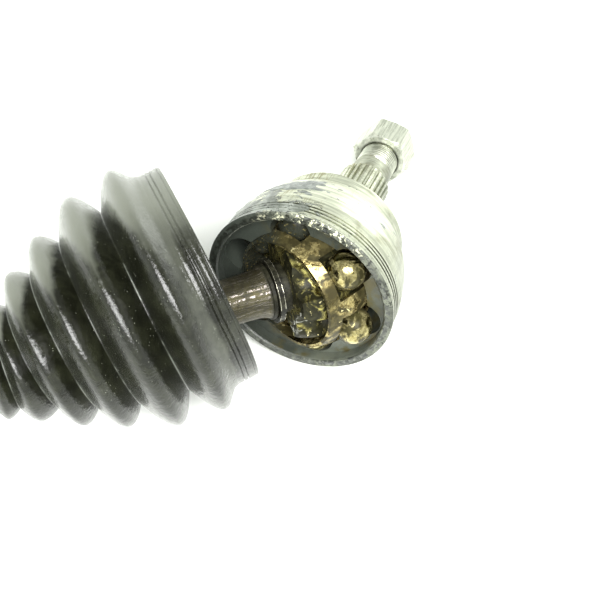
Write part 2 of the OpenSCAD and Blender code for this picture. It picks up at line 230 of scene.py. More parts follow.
class Shade:
    """A node material that is built up from short calls. A length in it is in metres."""

    def __init__(self, name):
        self.material = bpy.data.materials.new(name)
        self.material.use_nodes = True
        self.tree = self.material.node_tree
        self.tree.nodes.clear()
        output = self.tree.nodes.new("ShaderNodeOutputMaterial")
        self.shader = self.tree.nodes.new("ShaderNodeBsdfPrincipled")
        self.tree.links.new(self.shader.outputs["BSDF"], output.inputs["Surface"])
        self.place = self.tree.nodes.new("ShaderNodeTexCoord").outputs["Object"]

    def put(self, socket, value):
        """Links an output to the socket, or sets it to a constant."""
        if isinstance(value, bpy.types.NodeSocket):
            self.tree.links.new(value, socket)
        else:
            socket.default_value = value

    def set(self, **values):
        for name, value in values.items():
            self.put(self.shader.inputs[name.replace("_", " ")], value)

    def math(self, operation, a, b=0.0, c=0.0):
        n = self.tree.nodes.new("ShaderNodeMath")
        n.operation = operation
        for socket, value in zip(n.inputs, (a, b, c)):
            self.put(socket, value)
        return n.outputs[0]

    def vector(self, operation, a, b=(0.0, 0.0, 0.0), scale=None):
        n = self.tree.nodes.new("ShaderNodeVectorMath")
        n.operation = operation
        self.put(n.inputs[0], a)
        self.put(n.inputs[1], b)
        if scale is not None:
            self.put(n.inputs["Scale"], scale)
        return n.outputs["Value" if operation in ("DOT_PRODUCT", "LENGTH") else "Vector"]

    def step(self, value, low, high, out_low=0.0, out_high=1.0):
        """Runs from out_low to out_high, smoothly, as value runs from low to high."""
        n = self.tree.nodes.new("ShaderNodeMapRange")
        n.interpolation_type = "SMOOTHSTEP"
        for socket, v in zip(n.inputs, (value, low, high, out_low, out_high)):
            self.put(socket, v)
        return n.outputs[0]

    def noise(self, place, scale, detail=4.0, roughness=0.55, distortion=0.0):
        n = self.tree.nodes.new("ShaderNodeTexNoise")
        self.put(n.inputs["Vector"], place)
        n.inputs["Scale"].default_value = scale
        n.inputs["Detail"].default_value = detail
        n.inputs["Roughness"].default_value = roughness
        n.inputs["Distortion"].default_value = distortion
        return n.outputs["Fac"]

    def cells(self, place, scale):
        """Distance from the middle of the nearest of many scattered spots."""
        n = self.tree.nodes.new("ShaderNodeTexVoronoi")
        self.put(n.inputs["Vector"], place)
        n.inputs["Scale"].default_value = scale
        return n.outputs["Distance"]

    def mix(self, factor, a, b):
        n = self.tree.nodes.new("ShaderNodeMix")
        n.data_type = "RGBA"
        self.put(n.inputs["Factor"], factor)
        for name, value in (("A", a), ("B", b)):
            socket = [s for s in n.inputs if s.name == name and s.type == "RGBA"][0]
            self.put(socket, (*value, 1.0) if isinstance(value, tuple) else value)
        return [s for s in n.outputs if s.type == "RGBA"][0]

    def blend(self, factor, a, b):
        """A number between a and b."""
        n = self.tree.nodes.new("ShaderNodeMix")
        n.data_type = "FLOAT"
        self.put(n.inputs["Factor"], factor)
        for name, value in (("A", a), ("B", b)):
            socket = [s for s in n.inputs if s.name == name and s.type == "VALUE"][0]
            self.put(socket, value)
        return [s for s in n.outputs if s.type == "VALUE"][0]

    def bump(self, height, distance, strength=1.0):
        """Raises the surface by height times distance."""
        n = self.tree.nodes.new("ShaderNodeBump")
        n.inputs["Strength"].default_value = strength
        n.inputs["Distance"].default_value = distance
        self.put(n.inputs["Height"], height)
        self.put(self.shader.inputs["Normal"], n.outputs["Normal"])

    def attribute(self, name):
        n = self.tree.nodes.new("ShaderNodeAttribute")
        n.attribute_name = name
        return n.outputs["Fac"]

    def cylinder(self, place_frame):
        """Distance along a part's axis, distance from it, the unit vector away from it, and the
        place from the frame's origin."""
        origin = tuple(place_frame.translation)
        x_axis = tuple(place_frame.to_3x3().col[0])
        from_origin = self.vector("SUBTRACT", self.place, origin)
        t = self.vector("DOT_PRODUCT", from_origin, x_axis)
        on_axis = self.vector("SCALE", x_axis, scale=t)
        away = self.vector("SUBTRACT", from_origin, on_axis)
        return t, self.vector("LENGTH", away), self.vector("NORMALIZE", away), from_origin

    def turned(self, t, out, t_scale, round_scale, x_axis):
        """A texture place that is stretched round a turned part, without a seam."""
        return self.vector(
            "ADD",
            self.vector("SCALE", tuple(x_axis), scale=self.math("MULTIPLY", t, t_scale)),
            self.vector("SCALE", out, scale=round_scale),
        )


# The colour of painted glints, in specks in the grease on one side of the bell's rim
PAINTED_GLINT = (0.80, 0.80, 0.56)


def steel(name, dark, light, roughness, frame_at, lines=1.0, pits=0.3, stain=None):
    """Turned steel: fine lines round its axis, pits, and a stain in patches."""
    s = Shade(name)
    x_axis = frame_at.to_3x3().col[0]
    t, _, out, _ = s.cylinder(frame_at)
    fine = s.noise(s.turned(t, out, 5200.0, 0.9, x_axis), 1.0, 3.0, 0.6)
    coarse = s.noise(s.turned(t, out, 900.0, 1.6, x_axis), 1.0, 3.0, 0.6)
    patch = s.noise(s.place, 90.0, 5.0, 0.6, 0.4)
    pit = s.step(s.cells(s.place, 900.0), 0.10, 0.30)
    tone = s.math("ADD", s.math("MULTIPLY", coarse, 0.5), s.math("MULTIPLY", patch, 0.5))
    colour = s.mix(s.step(tone, 0.36, 0.64), dark, light)
    if stain:
        stained = s.step(s.noise(s.place, 45.0, 6.0, 0.65, 0.8), 0.52, 0.68, 0.0, 0.8)
        colour = s.mix(stained, colour, stain)
    s.set(Base_Color=colour, Metallic=1.0)
    s.set(Roughness=s.blend(s.step(patch, 0.35, 0.7), roughness, roughness + 0.16))
    height = s.math(
        "ADD",
        s.math("MULTIPLY", fine, 0.5 * lines),
        s.math("ADD", s.math("MULTIPLY", coarse, 0.6 * lines), s.math("MULTIPLY", pit, pits)),
    )
    s.bump(height, 0.00005)
    return s.material


# In the bell's colours t is the distance along its axis and r the distance from it, in metres


def bell_inside(s, t, r, from_centre):
    """1 on the mouth, the ball tracks and the socket, and 0 on the outside."""
    edge_or_in = s.math("MAXIMUM", s.math("LESS_THAN", r, 0.0427), s.math("LESS_THAN", t, -0.0102))
    mouth = s.math("MULTIPLY", s.math("LESS_THAN", t, 0.005), edge_or_in)
    near_centre = s.math("LESS_THAN", s.vector("LENGTH", from_centre), 0.0418)
    socket = s.math("MULTIPLY", near_centre, s.math("LESS_THAN", t, 0.028))
    return s.math("MAXIMUM", mouth, socket)


def bell_metal(s, t, r, out, coarse, patch):
    """The turned outside: painted shade on one side, worn brown on another, and dirt in its grooves."""
    metal = s.mix(s.step(coarse, 0.3, 0.7), (0.42, 0.44, 0.34), (0.78, 0.80, 0.65))
    metal = s.mix(s.step(patch, 0.5, 0.72, 0.0, 0.6), metal, (0.28, 0.27, 0.16))
    # Painted shade: the side away from the smears is darker, in streaks
    shade_flank = s.step(s.vector("DOT_PRODUCT", out, SMEAR_SIDE), -0.35, -0.90)
    streak = s.noise(s.turned(t, out, 60.0, 26.0, BELL_X), 1.0, 4.0, 0.6)
    shade_flank = s.math("MULTIPLY", shade_flank, s.step(streak, 0.35, 0.65, 0.7, 1.0))
    metal = s.mix(shade_flank, metal, (0.22, 0.23, 0.185))
    # A brown patch, streaked along the bell
    brown_side = s.step(s.vector("DOT_PRODUCT", out, WORN_AND_HIGHLIGHT_SIDE), 0.45, 0.85)
    worn = s.step(s.noise(s.turned(t, out, 120.0, 60.0, BELL_X), 1.0, 4.0, 0.65), 0.47, 0.56)
    cloud = s.step(s.noise(s.place, 55.0, 3.0, 0.55), 0.50, 0.60)
    worn = s.math("MULTIPLY", s.math("MULTIPLY", worn, cloud), brown_side)
    metal = s.mix(s.math("MULTIPLY", worn, 0.75), metal, (0.24, 0.215, 0.09))
    # Dirt in the clamp grooves
    groove = s.math("MULTIPLY", s.math("GREATER_THAN", t, -0.0072), s.math("LESS_THAN", t, -0.0014))
    groove = s.math("MULTIPLY", groove, s.step(r, 0.0432, 0.0430))
    dirt = s.math("MULTIPLY", groove, s.step(patch, 0.3, 0.6, 0.80, 0.40))
    return s.mix(dirt, metal, (0.04, 0.042, 0.03))


def bell_smears(s, t, out, metal):
    """Smears of grease, strong on one side and near the rim, drawn out round the bell, and
    black specks by the rim. Gives the new colour and where the two of them are."""
    side = s.step(s.vector("DOT_PRODUCT", out, SMEAR_SIDE), -0.1, 0.8)
    rim = s.step(t, 0.020, -0.006)
    smear_noise = s.noise(s.turned(t, out, 230.0, 5.5, BELL_X), 1.0, 5.0, 0.6, 0.6)
    reach = s.math("MULTIPLY_ADD", s.math("MULTIPLY", rim, side), 0.44, 0.32)
    level = s.math("SUBTRACT", s.math("ADD", smear_noise, reach), 1.0)
    smear = s.step(level, -0.020, -0.008)
    edge = s.math("MULTIPLY", smear, s.step(level, 0.022, -0.006))
    cloud = s.step(s.noise(s.place, 160.0, 4.0), 0.35, 0.65)
    grease = s.mix(cloud, (0.13, 0.145, 0.12), (0.33, 0.355, 0.31))
    grease = s.mix(edge, grease, (0.035, 0.04, 0.03))
    metal = s.mix(smear, metal, grease)
    fleck = s.step(s.noise(s.place, 620.0, 3.0, 0.6), 0.57, 0.61)
    dirty_rim = s.math("MULTIPLY", s.step(t, 0.004, -0.008), s.step(side, 0.0, 0.5, 0.45, 1.0))
    black = s.math("MULTIPLY", fleck, dirty_rim)
    return s.mix(black, metal, (0.02, 0.022, 0.018)), smear, black


def bell_stub(s, t, r, metal):
    """Painted shade in the roots between the teeth of the spline, and a darker stub past it."""
    spline = s.math("MULTIPLY", s.math("GREATER_THAN", t, 0.0385), s.math("LESS_THAN", t, 0.081))
    spline_root_shade = s.math("MULTIPLY", spline, s.step(r, 0.0127, 0.0119))
    metal = s.mix(s.math("MULTIPLY", spline_root_shade, 0.38), metal, (0.20, 0.20, 0.15))
    darker = s.mix(0.28, metal, (0.0, 0.0, 0.0))
    return s.mix(s.math("GREATER_THAN", t, 0.081), metal, darker)


def bell_grease(s, r, out, front, face, gritty):
    """The greasy inside, with a brown film where the parts have rubbed, and the rim's front
    face under grey grease full of grit. Painted shade makes one side of both an even dark,
    painted glints speck the rim grease on another side, and a painted highlight runs along
    the rim's inner edge on a third."""
    film = s.step(s.noise(s.place, 75.0, 5.0, 0.6, 0.6), 0.48, 0.62)
    haze = s.step(s.noise(s.place, 45.0, 4.0, 0.6), 0.4, 0.65)
    # Painted shade: on one side the inside and the rim face are made an even dark
    shaded = s.step(s.vector("DOT_PRODUCT", out, MOUTH_SHADE_SIDE), 0.35, 0.80)
    even = (0.040, 0.047, 0.038)
    dark = s.mix(haze, (0.045, 0.052, 0.041), (0.110, 0.122, 0.096))
    dark = s.mix(film, dark, (0.075, 0.066, 0.026))
    dark = s.mix(shaded, dark, even)
    band = s.noise(s.place, 120.0, 4.0, 0.6)
    rim_grease = s.mix(s.step(band, 0.35, 0.65), (0.040, 0.045, 0.034), (0.150, 0.162, 0.122))
    rim_grease = s.mix(s.step(gritty, 0.47, 0.40), rim_grease, (0.015, 0.017, 0.010))
    # Painted glints: bright specks in the rim grease on one side
    glint_side = s.step(s.vector("DOT_PRODUCT", out, GLINT_SIDE), 0.76, 1.0)
    glint_specks = s.math("MULTIPLY", s.step(gritty, 0.56, 0.61), glint_side)
    rim_grease = s.mix(glint_specks, rim_grease, PAINTED_GLINT)
    # Painted shade on the rim face as well
    rim_grease = s.mix(shaded, rim_grease, even)
    dark = s.mix(face, dark, rim_grease)
    # A painted highlight along the rim's inner edge, on one side, broken where the grease band is
    line = s.math("MULTIPLY", s.step(r, 0.0391, 0.0394), s.step(r, 0.0402, 0.0399))
    edge_highlight_side = s.step(s.vector("DOT_PRODUCT", out, WORN_AND_HIGHLIGHT_SIDE), 0.55, 0.95)
    bare = s.math("MULTIPLY", s.step(band, 0.40, 0.55), edge_highlight_side)
    line = s.math("MULTIPLY", s.math("MULTIPLY", front, line), bare)
    return s.mix(line, dark, (0.70, 0.72, 0.60))


def bell_material():
    """Machined steel outside, with smears of grey grease near the rim, and greasy inside."""
    s = Shade("bell_machined")
    t, r, out, from_centre = s.cylinder(BELL)
    fine = s.noise(s.turned(t, out, 5200.0, 1.0, BELL_X), 1.0, 3.0, 0.6)
    coarse = s.noise(s.turned(t, out, 900.0, 2.0, BELL_X), 1.0, 4.0, 0.6)
    patch = s.noise(s.place, 70.0, 5.0, 0.6, 0.5)
    gritty = s.noise(s.place, 520.0, 4.0, 0.65, 0.4)
    inside = bell_inside(s, t, r, from_centre)
    front = s.math("LESS_THAN", t, -0.0097)
    face = s.math("MULTIPLY", front, s.math("GREATER_THAN", r, 0.0398))
    metal = bell_metal(s, t, r, out, coarse, patch)
    metal, smear, black = bell_smears(s, t, out, metal)
    metal = bell_stub(s, t, r, metal)
    dark = bell_grease(s, r, out, front, face, gritty)
    s.set(Base_Color=s.mix(inside, metal, dark))
    dull = s.math("MAXIMUM", inside, s.math("MAXIMUM", smear, black))
    s.set(Metallic=s.math("SUBTRACT", 1.0, dull))
    rough = s.blend(s.step(patch, 0.35, 0.7), 0.30, 0.46)
    s.set(Roughness=s.blend(inside, s.blend(smear, rough, 0.3), s.blend(face, 0.36, 0.42)))
    lump = s.math("ADD", s.noise(s.place, 240.0, 5.0, 0.6), s.math("MULTIPLY", smear, 0.8))
    lump = s.math("ADD", lump, s.math("MULTIPLY", s.math("MULTIPLY", face, gritty), 1.2))
    turned_lines = s.math("ADD", s.math("MULTIPLY", fine, 0.10), s.math("MULTIPLY", coarse, 0.14))
    greasy = s.math("MAXIMUM", inside, smear)
    s.bump(s.blend(greasy, turned_lines, lump), 0.0005, 0.7)
    return s.material


def oiled_material(name, deep, bright, frame_at, roughness, film_colour, film_share, lumps=1.0,
                   darker_side=None, brown=None):
    """Hardened steel under a film of brown grease that is thick in patches, with painted glints."""
    s = Shade(name)
    _, _, _, place = s.cylinder(frame_at)
    patch = s.noise(s.place, 120.0, 5.0, 0.6, 0.7)
    small = s.noise(s.place, 700.0, 4.0, 0.6, 0.3)
    clear = s.step(patch, film_share - 0.05, film_share + 0.09)
    colour = s.mix(s.step(small, 0.3, 0.7), deep, bright)
    cloud = s.step(s.noise(s.place, 300.0, 4.0, 0.6), 0.4, 0.7)
    thick = s.mix(cloud, film_colour, tuple(2.2 * c for c in film_colour))
    colour = s.mix(clear, thick, colour)
    # Painted glints: bright gold spots, also made metallic
    glint = s.math("MULTIPLY", s.step(s.noise(s.place, 430.0, 3.0, 0.6, 0.5), 0.66, 0.70), 0.8)
    colour = s.mix(glint, colour, (0.9, 0.8, 0.4))
    metallic = s.math("MAXIMUM", s.blend(clear, 0.15, 1.0), glint)
    if brown:
        # Between these two distances along its direction the film is an even brown
        way, low, high = brown
        far = s.vector("DOT_PRODUCT", place, way)
        band = s.math("MULTIPLY", s.step(far, low, low + 0.005), s.step(far, high, high - 0.005))
        colour = s.mix(s.math("MULTIPLY", band, 0.85), colour, (0.045, 0.038, 0.015))
    if darker_side:
        # On this side the colour turns near black and not metallic, except in specks
        way, low, high = darker_side
        far = s.vector("DOT_PRODUCT", place, way)
        black = s.step(s.math("ADD", far, s.math("MULTIPLY", patch, 0.006)), low, high)
        speck = s.step(s.noise(s.place, 800.0, 2.0, 0.5), 0.58, 0.61)
        black = s.math("MULTIPLY", black, s.math("SUBTRACT", 1.0, speck))
        colour = s.mix(black, colour, s.mix(small, (0.010, 0.012, 0.008), (0.045, 0.048, 0.034)))
        metallic = s.math("MULTIPLY", metallic, s.math("SUBTRACT", 1.0, black))
    s.set(Base_Color=colour, Metallic=metallic)
    worn = s.blend(s.step(small, 0.35, 0.75), roughness, roughness + 0.18)
    s.set(Roughness=s.blend(clear, 0.34, worn))
    s.set(Specular_IOR_Level=0.15, Coat_Weight=0.03, Coat_Roughness=0.08)
    height = s.math("ADD", s.math("MULTIPLY", patch, 1.6), s.math("MULTIPLY", small, 0.14))
    s.bump(height, 0.0006 * lumps, 0.75)
    return s.material


def bar_material():
    """A brown, lightly rusted bar with scratches and two painted highlight lines along it, dark with
    grease by the race.
    """
    s = Shade("bar_rusted")
    t, _, out, _ = s.cylinder(BAR)
    streak = s.noise(s.turned(t, out, 28.0, 26.0, BAR_X), 1.0, 5.0, 0.65)
    hair = s.noise(s.turned(t, out, 75.0, 110.0, BAR_X), 1.0, 3.0, 0.6)
    mottle = s.noise(s.place, 260.0, 6.0, 0.7, 0.3)
    grain = s.noise(s.place, 1500.0, 4.0, 0.7)
    band = s.noise(s.turned(t, out, 330.0, 1.2, BAR_X), 1.0, 3.0, 0.6)
    tone = s.math("ADD", s.math("MULTIPLY", streak, 0.5), s.math("MULTIPLY", mottle, 0.5))
    colour = s.mix(s.step(tone, 0.38, 0.60), (0.022, 0.0195, 0.010), (0.074, 0.066, 0.032))
    colour = s.mix(s.step(band, 0.55, 0.66, 0.0, 0.7), colour, (0.035, 0.031, 0.018))
    scratch = s.math("MULTIPLY", s.step(hair, 0.60, 0.65), s.step(streak, 0.40, 0.52))
    colour = s.mix(s.math("MULTIPLY", scratch, 0.8), colour, (0.72, 0.66, 0.60))
    # Two broken bright lines along the bar: painted highlights
    across = s.vector("DOT_PRODUCT", out, HIGHLIGHT_LINE_WAY)
    broken = s.step(s.noise(s.place, 420.0, 4.0, 0.75), 0.48, 0.55)
    for offset in (0.10, -0.16):
        off = s.math("ABSOLUTE", s.math("SUBTRACT", across, offset))
        rubbed = s.math("MULTIPLY", s.step(off, 0.055, 0.02), broken)
        scratch = s.math("MAXIMUM", scratch, rubbed)
        colour = s.mix(s.math("MULTIPLY", rubbed, 0.65), colour, (0.72, 0.64, 0.60))
    greasy = s.step(s.math("ADD", t, s.math("MULTIPLY", mottle, 0.004)), 0.3568, 0.3580)
    grease = s.mix(s.step(mottle, 0.4, 0.65), (0.009, 0.0088, 0.005), (0.034, 0.033, 0.020))
    colour = s.mix(greasy, colour, grease)
    s.set(Base_Color=colour, Specular_IOR_Level=s.blend(greasy, 0.5, 0.2))
    bare = s.blend(s.step(tone, 0.36, 0.6), 0.3, 0.8)
    s.set(Metallic=s.math("MULTIPLY", bare, s.math("SUBTRACT", 1.0, greasy)))
    s.set(Roughness=s.blend(scratch, s.blend(grain, 0.30, 0.55), 0.2))
    rough_skin = s.math("ADD", s.math("MULTIPLY", grain, 0.5), s.math("MULTIPLY", mottle, 0.9))
    s.bump(s.math("ADD", rough_skin, s.math("MULTIPLY", hair, 0.5)), 0.00022, 0.75)
    return s.material


def rubber_material(name, frame_at, sheen_band=None):
    """Moulded black rubber with an oily sheen, dust in its valleys, a pale film on its crests that is
    part dust and part painted sheen, and fine scratches. The band is where along the axis that film
    lies all round, as painted sheen."""
    s = Shade(name)
    t, _, out, _ = s.cylinder(frame_at)
    x_axis = frame_at.to_3x3().col[0]
    dust = s.noise(s.place, 130.0, 6.0, 0.6, 0.4)
    broken = s.noise(s.place, 55.0, 3.0, 0.6)
    speck = s.step(s.cells(s.place, 520.0), 0.10, 0.05)
    few = s.step(s.noise(s.place, 60.0, 2.0), 0.48, 0.54)
    grain = s.noise(s.place, 1100.0, 5.0, 0.75)
    wave = s.noise(s.place, 50.0, 2.0, 0.5)
    wipe = s.noise(s.turned(t, out, 420.0, 3.0, x_axis), 1.0, 5.0, 0.65)
    hair = s.noise(s.turned(t, out, 900.0, 9.0, x_axis), 1.0, 3.0, 0.6, 1.2)
    colour = s.mix(s.step(dust, 0.35, 0.7), (0.0045, 0.0050, 0.0022), (0.015, 0.0165, 0.0085))
    colour = s.mix(s.math("MULTIPLY", speck, few), colour, (0.26, 0.27, 0.22))
    scratch = s.math("MULTIPLY", s.step(hair, 0.68, 0.72), s.step(broken, 0.50, 0.60))
    colour = s.mix(s.math("MULTIPLY", scratch, 0.6), colour, (0.20, 0.21, 0.17))
    line = s.math("MULTIPLY", s.attribute("crease"), s.step(broken, 0.44, 0.60, 0.0, 0.65))
    colour = s.mix(line, colour, (0.26, 0.28, 0.24))
    # Pale film on the crests, part dust and part painted sheen, which spreads into the valleys
    # towards one side
    dust_and_sheen_side = side_of(frame_at, DUST_AND_SHEEN_ANGLE, DUST_AND_SHEEN_REACH)
    dust_and_sheen = s.step(s.vector("DOT_PRODUCT", out, dust_and_sheen_side), 0.10, 0.95)
    level = s.math("ADD", s.attribute("crest"), dust_and_sheen)
    level = s.math("ADD", level, s.math("MULTIPLY", s.math("SUBTRACT", dust, 0.5), 0.3))
    if sheen_band:
        # Painted sheen: the pale film lies all round this band
        start, end = sheen_band
        pale = s.math("MULTIPLY", s.step(t, start, start + 0.003), s.step(t, end, end - 0.002))
        level = s.math("ADD", level, s.math("MULTIPLY", pale, 0.20))
    film = s.math("MULTIPLY", s.step(level, 0.94, 1.29), s.step(dust_and_sheen, 0.0, 0.9, 0.30, 1.0))
    colour = s.mix(film, colour, (0.165, 0.175, 0.142))
    s.set(Base_Color=colour, Metallic=0.0)
    dull = s.math("ADD", s.math("MULTIPLY", wipe, 0.5), s.math("MULTIPLY", grain, 0.5))
    s.set(Roughness=s.blend(s.step(dull, 0.42, 0.58), 0.10, 0.26))
    s.set(Sheen_Weight=0.06, Sheen_Roughness=0.3, Sheen_Tint=(0.90, 0.95, 0.82, 1.0))
    s.set(Specular_IOR_Level=0.50, Coat_Weight=0.06, Coat_Roughness=0.30)
    ripple = s.noise(s.place, 480.0, 3.0, 0.6)
    height = s.math("ADD", s.math("MULTIPLY", grain, 0.17), s.math("MULTIPLY", wave, 1.6))
    height = s.math("ADD", height, s.math("MULTIPLY", ripple, 0.9))
    s.bump(s.math("ADD", height, s.math("MULTIPLY", wipe, 0.20)), 0.0004, 0.8)
    return s.material


def nut_material():
    """A bright nut with a dirty face towards the bell."""
    s = Shade("nut_steel")
    t, r, out, _ = s.cylinder(BELL)
    mottle = s.noise(s.place, 180.0, 5.0, 0.6)
    scuff = s.noise(s.turned(t, out, 60.0, 14.0, BELL_X), 1.0, 4.0, 0.65)
    colour = s.mix(s.step(scuff, 0.35, 0.65), (0.42, 0.44, 0.36), (0.70, 0.72, 0.61))
    near = s.step(t, NUT_FACE + 0.0007, NUT_FACE + 0.0003)
    dirty = s.mix(s.step(mottle, 0.4, 0.65), (0.40, 0.42, 0.35), (0.74, 0.76, 0.66))
    dirty = s.mix(s.step(r, 0.0114, 0.0104, 0.0, 0.8), dirty, (0.06, 0.065, 0.05))
    s.set(Base_Color=s.mix(near, colour, dirty), Metallic=s.blend(near, 1.0, 0.6))
    s.set(Roughness=s.blend(s.step(mottle, 0.35, 0.7), 0.26, 0.42))
    s.bump(s.math("ADD", mottle, s.math("MULTIPLY", scuff, 0.6)), 0.00018, 0.7)
    return s.material


def stop_ring_material():
    """A ring dark with grease, that only shines along its edges."""
    s = Shade("stop_ring_greasy")
    t, r, _, _ = s.cylinder(BAR)
    mottle = s.noise(s.place, 300.0, 4.0, 0.6)
    colour = s.mix(s.step(mottle, 0.4, 0.65), (0.009, 0.009, 0.006), (0.034, 0.033, 0.021))
    rubbed = s.math("MULTIPLY", s.step(r, 0.01490, 0.01496), s.step(mottle, 0.42, 0.50))
    from_middle = s.math("ABSOLUTE", s.math("SUBTRACT", t, STOP_RING_MIDDLE))
    edge = s.math("MULTIPLY", rubbed, s.step(from_middle, 0.00095, 0.00105))
    s.set(Base_Color=s.mix(edge, colour, (0.62, 0.60, 0.48)), Metallic=edge)
    s.set(Roughness=0.25, Specular_IOR_Level=0.2)
    s.bump(mottle, 0.0003, 0.7)
    return s.material


def grease_material(name, dark, light, roughness, shade_side=None, glint_side=None):
    """Lumpy grease. On the bell it takes painted shade on one side and painted glint specks on another.
    """
    s = Shade(name)
    lump = s.noise(s.place, 420.0, 5.0, 0.6, 0.8)
    fine = s.noise(s.place, 1600.0, 3.0, 0.6)
    colour = s.mix(s.step(lump, 0.4, 0.68), dark, light)
    if shade_side:
        _, _, out, _ = s.cylinder(BELL)
        # Painted shade: one side takes the dark colour
        colour = s.mix(s.step(s.vector("DOT_PRODUCT", out, shade_side), 0.35, 0.8), colour, dark)
        gritty = s.step(s.noise(s.place, 520.0, 4.0, 0.65, 0.4), 0.54, 0.58)
        # Painted glints: bright specks on another side
        glint_specks = s.step(s.vector("DOT_PRODUCT", out, glint_side), 0.70, 1.0)
        colour = s.mix(s.math("MULTIPLY", gritty, glint_specks), colour, PAINTED_GLINT)
    s.set(Base_Color=colour, Metallic=0.0)
    s.set(Roughness=s.blend(fine, roughness, roughness + 0.15))
    s.set(Specular_IOR_Level=0.7, Coat_Weight=0.4, Coat_Roughness=0.1)
    s.bump(s.math("ADD", lump, s.math("MULTIPLY", fine, 0.3)), 0.0006, 0.8)
    return s.material


def floor_material():
    """A white table top."""
    s = Shade("floor_white")
    tone = s.noise(s.place, 3.0, 2.0)
    s.set(Base_Color=s.mix(tone, (0.84, 0.855, 0.825), (0.88, 0.895, 0.865)))
    # Far from the window the floor would fall off to grey
    from_middle = s.vector("LENGTH", s.vector("SUBTRACT", s.place, tuple(CENTRE)))
    s.set(Roughness=0.3, Emission_Color=(0.97, 1.0, 0.955, 1.0))
    s.set(Emission_Strength=s.step(from_middle, 0.3, 1.2, 0.0, 0.8))
    return s.material


# ---- shapes ----

# Distance in millimetres from the bottom of a valley to the next ring of its boot's skin
VALLEY_EDGE = 0.3
# The place of a ring on the inside of a boot, which no fold marks
NOT_MARKED = -99.0


def ring_tube(name, rings, around):
    """A closed skin through rings. A ring is (centre, y axis, z axis, radius), and they run
    along the outside and back along the inside."""
    vertices, faces = [], []
    for centre, y_axis, z_axis, radius in rings:
        for k in range(around):
            a = 2 * math.pi * k / around
            vertices.append(centre + (y_axis * math.cos(a) + z_axis * math.sin(a)) * radius)
    count = len(rings)
    for i in range(count):
        j = (i + 1) % count
        for k in range(around):
            n = (k + 1) % around
            faces.append((i * around + k, i * around + n, j * around + n, j * around + k))
    return new_object(name, vertices, faces)


def interpolate(profile, x):
    """The second number of a [(place, number)] profile at the place x."""
    for (x0, r0), (x1, r1) in zip(profile, profile[1:]):
        if x0 <= x <= x1:
            return r0 + (r1 - r0) * (x - x0) / max(x1 - x0, 1e-9)
    return profile[-1][1]


def folds(points, per_fold):
    """A bellows profile: crests are round and the valleys between them are sharp.
    points are [(s, r, kind)], with kind crest, valley or flat."""
    out = []
    for (s0, r0, k0), (s1, r1, k1) in zip(points, points[1:]):
        places = [i / per_fold for i in range(per_fold)]
        # a ring close to a valley keeps its bottom sharp
        near = VALLEY_EDGE / (s1 - s0)
        if k0 == "valley":
            places.insert(1, near)
        if k1 == "valley":
            places.append(1 - near)
        for u in places:
            if k0 == "valley" and k1 == "crest":
                f = math.sin(math.pi * u / 2)
            elif k0 == "crest" and k1 == "valley":
                f = 1 - math.cos(math.pi * u / 2)
            elif k0 == "crest" or k1 == "crest":
                f = (1 - math.cos(math.pi * u)) / 2
            else:
                f = u
            out.append((s0 + (s1 - s0) * u, r0 + (r1 - r0) * f))
    out.append(points[-1][:2])
    return out


def mark_folds(obj, along_axis, profile, width):
    """Writes two attributes: crease is 1 in the bottom of each valley and 0 outside it, and
    crest runs from 0 in a valley to 1 on a crest."""
    crease = obj.data.attributes.new("crease", "FLOAT", "POINT")
    crest = obj.data.attributes.new("crest", "FLOAT", "POINT")
    valleys = [point[0] for point in profile if point[2] == "valley"]
    heights = [(point[0], 0.0 if point[2] == "valley" else 1.0) for point in profile]
    for i, s in enumerate(along_axis):
        near = min(abs(s - c) for c in valleys)
        crease.data[i].value = max(0.0, 1.0 - near / width)
        crest.data[i].value = interpolate(heights, s)


# Outer boot, in millimetres along its own axis from where that crosses the bar
BOOT_WALL = 2.6
BOOT_HINGE = Vector((0.2464, 0.0, 0.0))
BOOT_LEAN = math.radians(13.8)
BOOT_UP = HINGE
# How far each way from the hinge the boot takes to bend over to its lean
BOOT_BEND = 9.0
# The flare before the cuff, where the pale film runs all round as painted sheen
SHEEN_BAND = 72.0 * MM, 80.0 * MM
# How uneven the moulded skin is, in metres, and how far it is set back to stay in its solid
SKIN_WOBBLE = 0.35 * MM
SKIN_SCALE = 38.0
SKIN_BACK = 0.2 * MM
BOOT_AROUND = 160
BOOT_FOLDS = [
    (-12.5, 16.0, "flat"), (-8.0, 20.5, "crest"), (-3.5, 17.5, "valley"),
    (2.2, 25.8, "crest"), (8.4, 23.0, "valley"), (15.2, 35.2, "crest"),
    (22.6, 30.5, "valley"), (30.7, 43.6, "crest"), (38.6, 37.0, "valley"),
    (49.4, 52.4, "crest"), (58.9, 41.1, "valley"), (69.2, 55.0, "crest"), (77.8, 48.3, "flat"),
]
CUFF = [
    (78.2, 48.15), (78.6, 47.9), (79.0, 48.0), (80.9, 48.0),
    (81.0, 47.3), (81.35, 47.3), (81.45, 48.0), (82.75, 48.0), (82.85, 47.3), (83.2, 47.3),
    (83.3, 48.0), (86.1, 48.0), (86.2, 47.7), (86.35, 47.7), (86.45, 48.0), (87.3, 48.0),
    (87.6, 47.85), (87.7, 47.5),
]
CUFF_INSIDE = [
    (87.7, 46.0), (87.3, 45.6), (86.4, 45.5), (85.4, 44.6), (84.6, 45.4), (82.6, 45.5), (81.6, 44.6),
    (80.8, 45.4), (79.0, 45.5), (78.2, 45.5),
]
BOOT_NECK = [
    (-30.0, 12.2), (-29.7, 14.2), (-29.0, 14.6), (-27.6, 14.6), (-27.2, 13.7), (-18.2, 13.7),
    (-17.8, 14.6), (-16.0, 14.6), (-15.0, 14.7), (-13.8, 15.1),
]
BOOT_NECK_INSIDE = [(-14.0, 12.0), (-15.5, 11.1), (-29.6, 11.0), (-29.9, 11.4)]


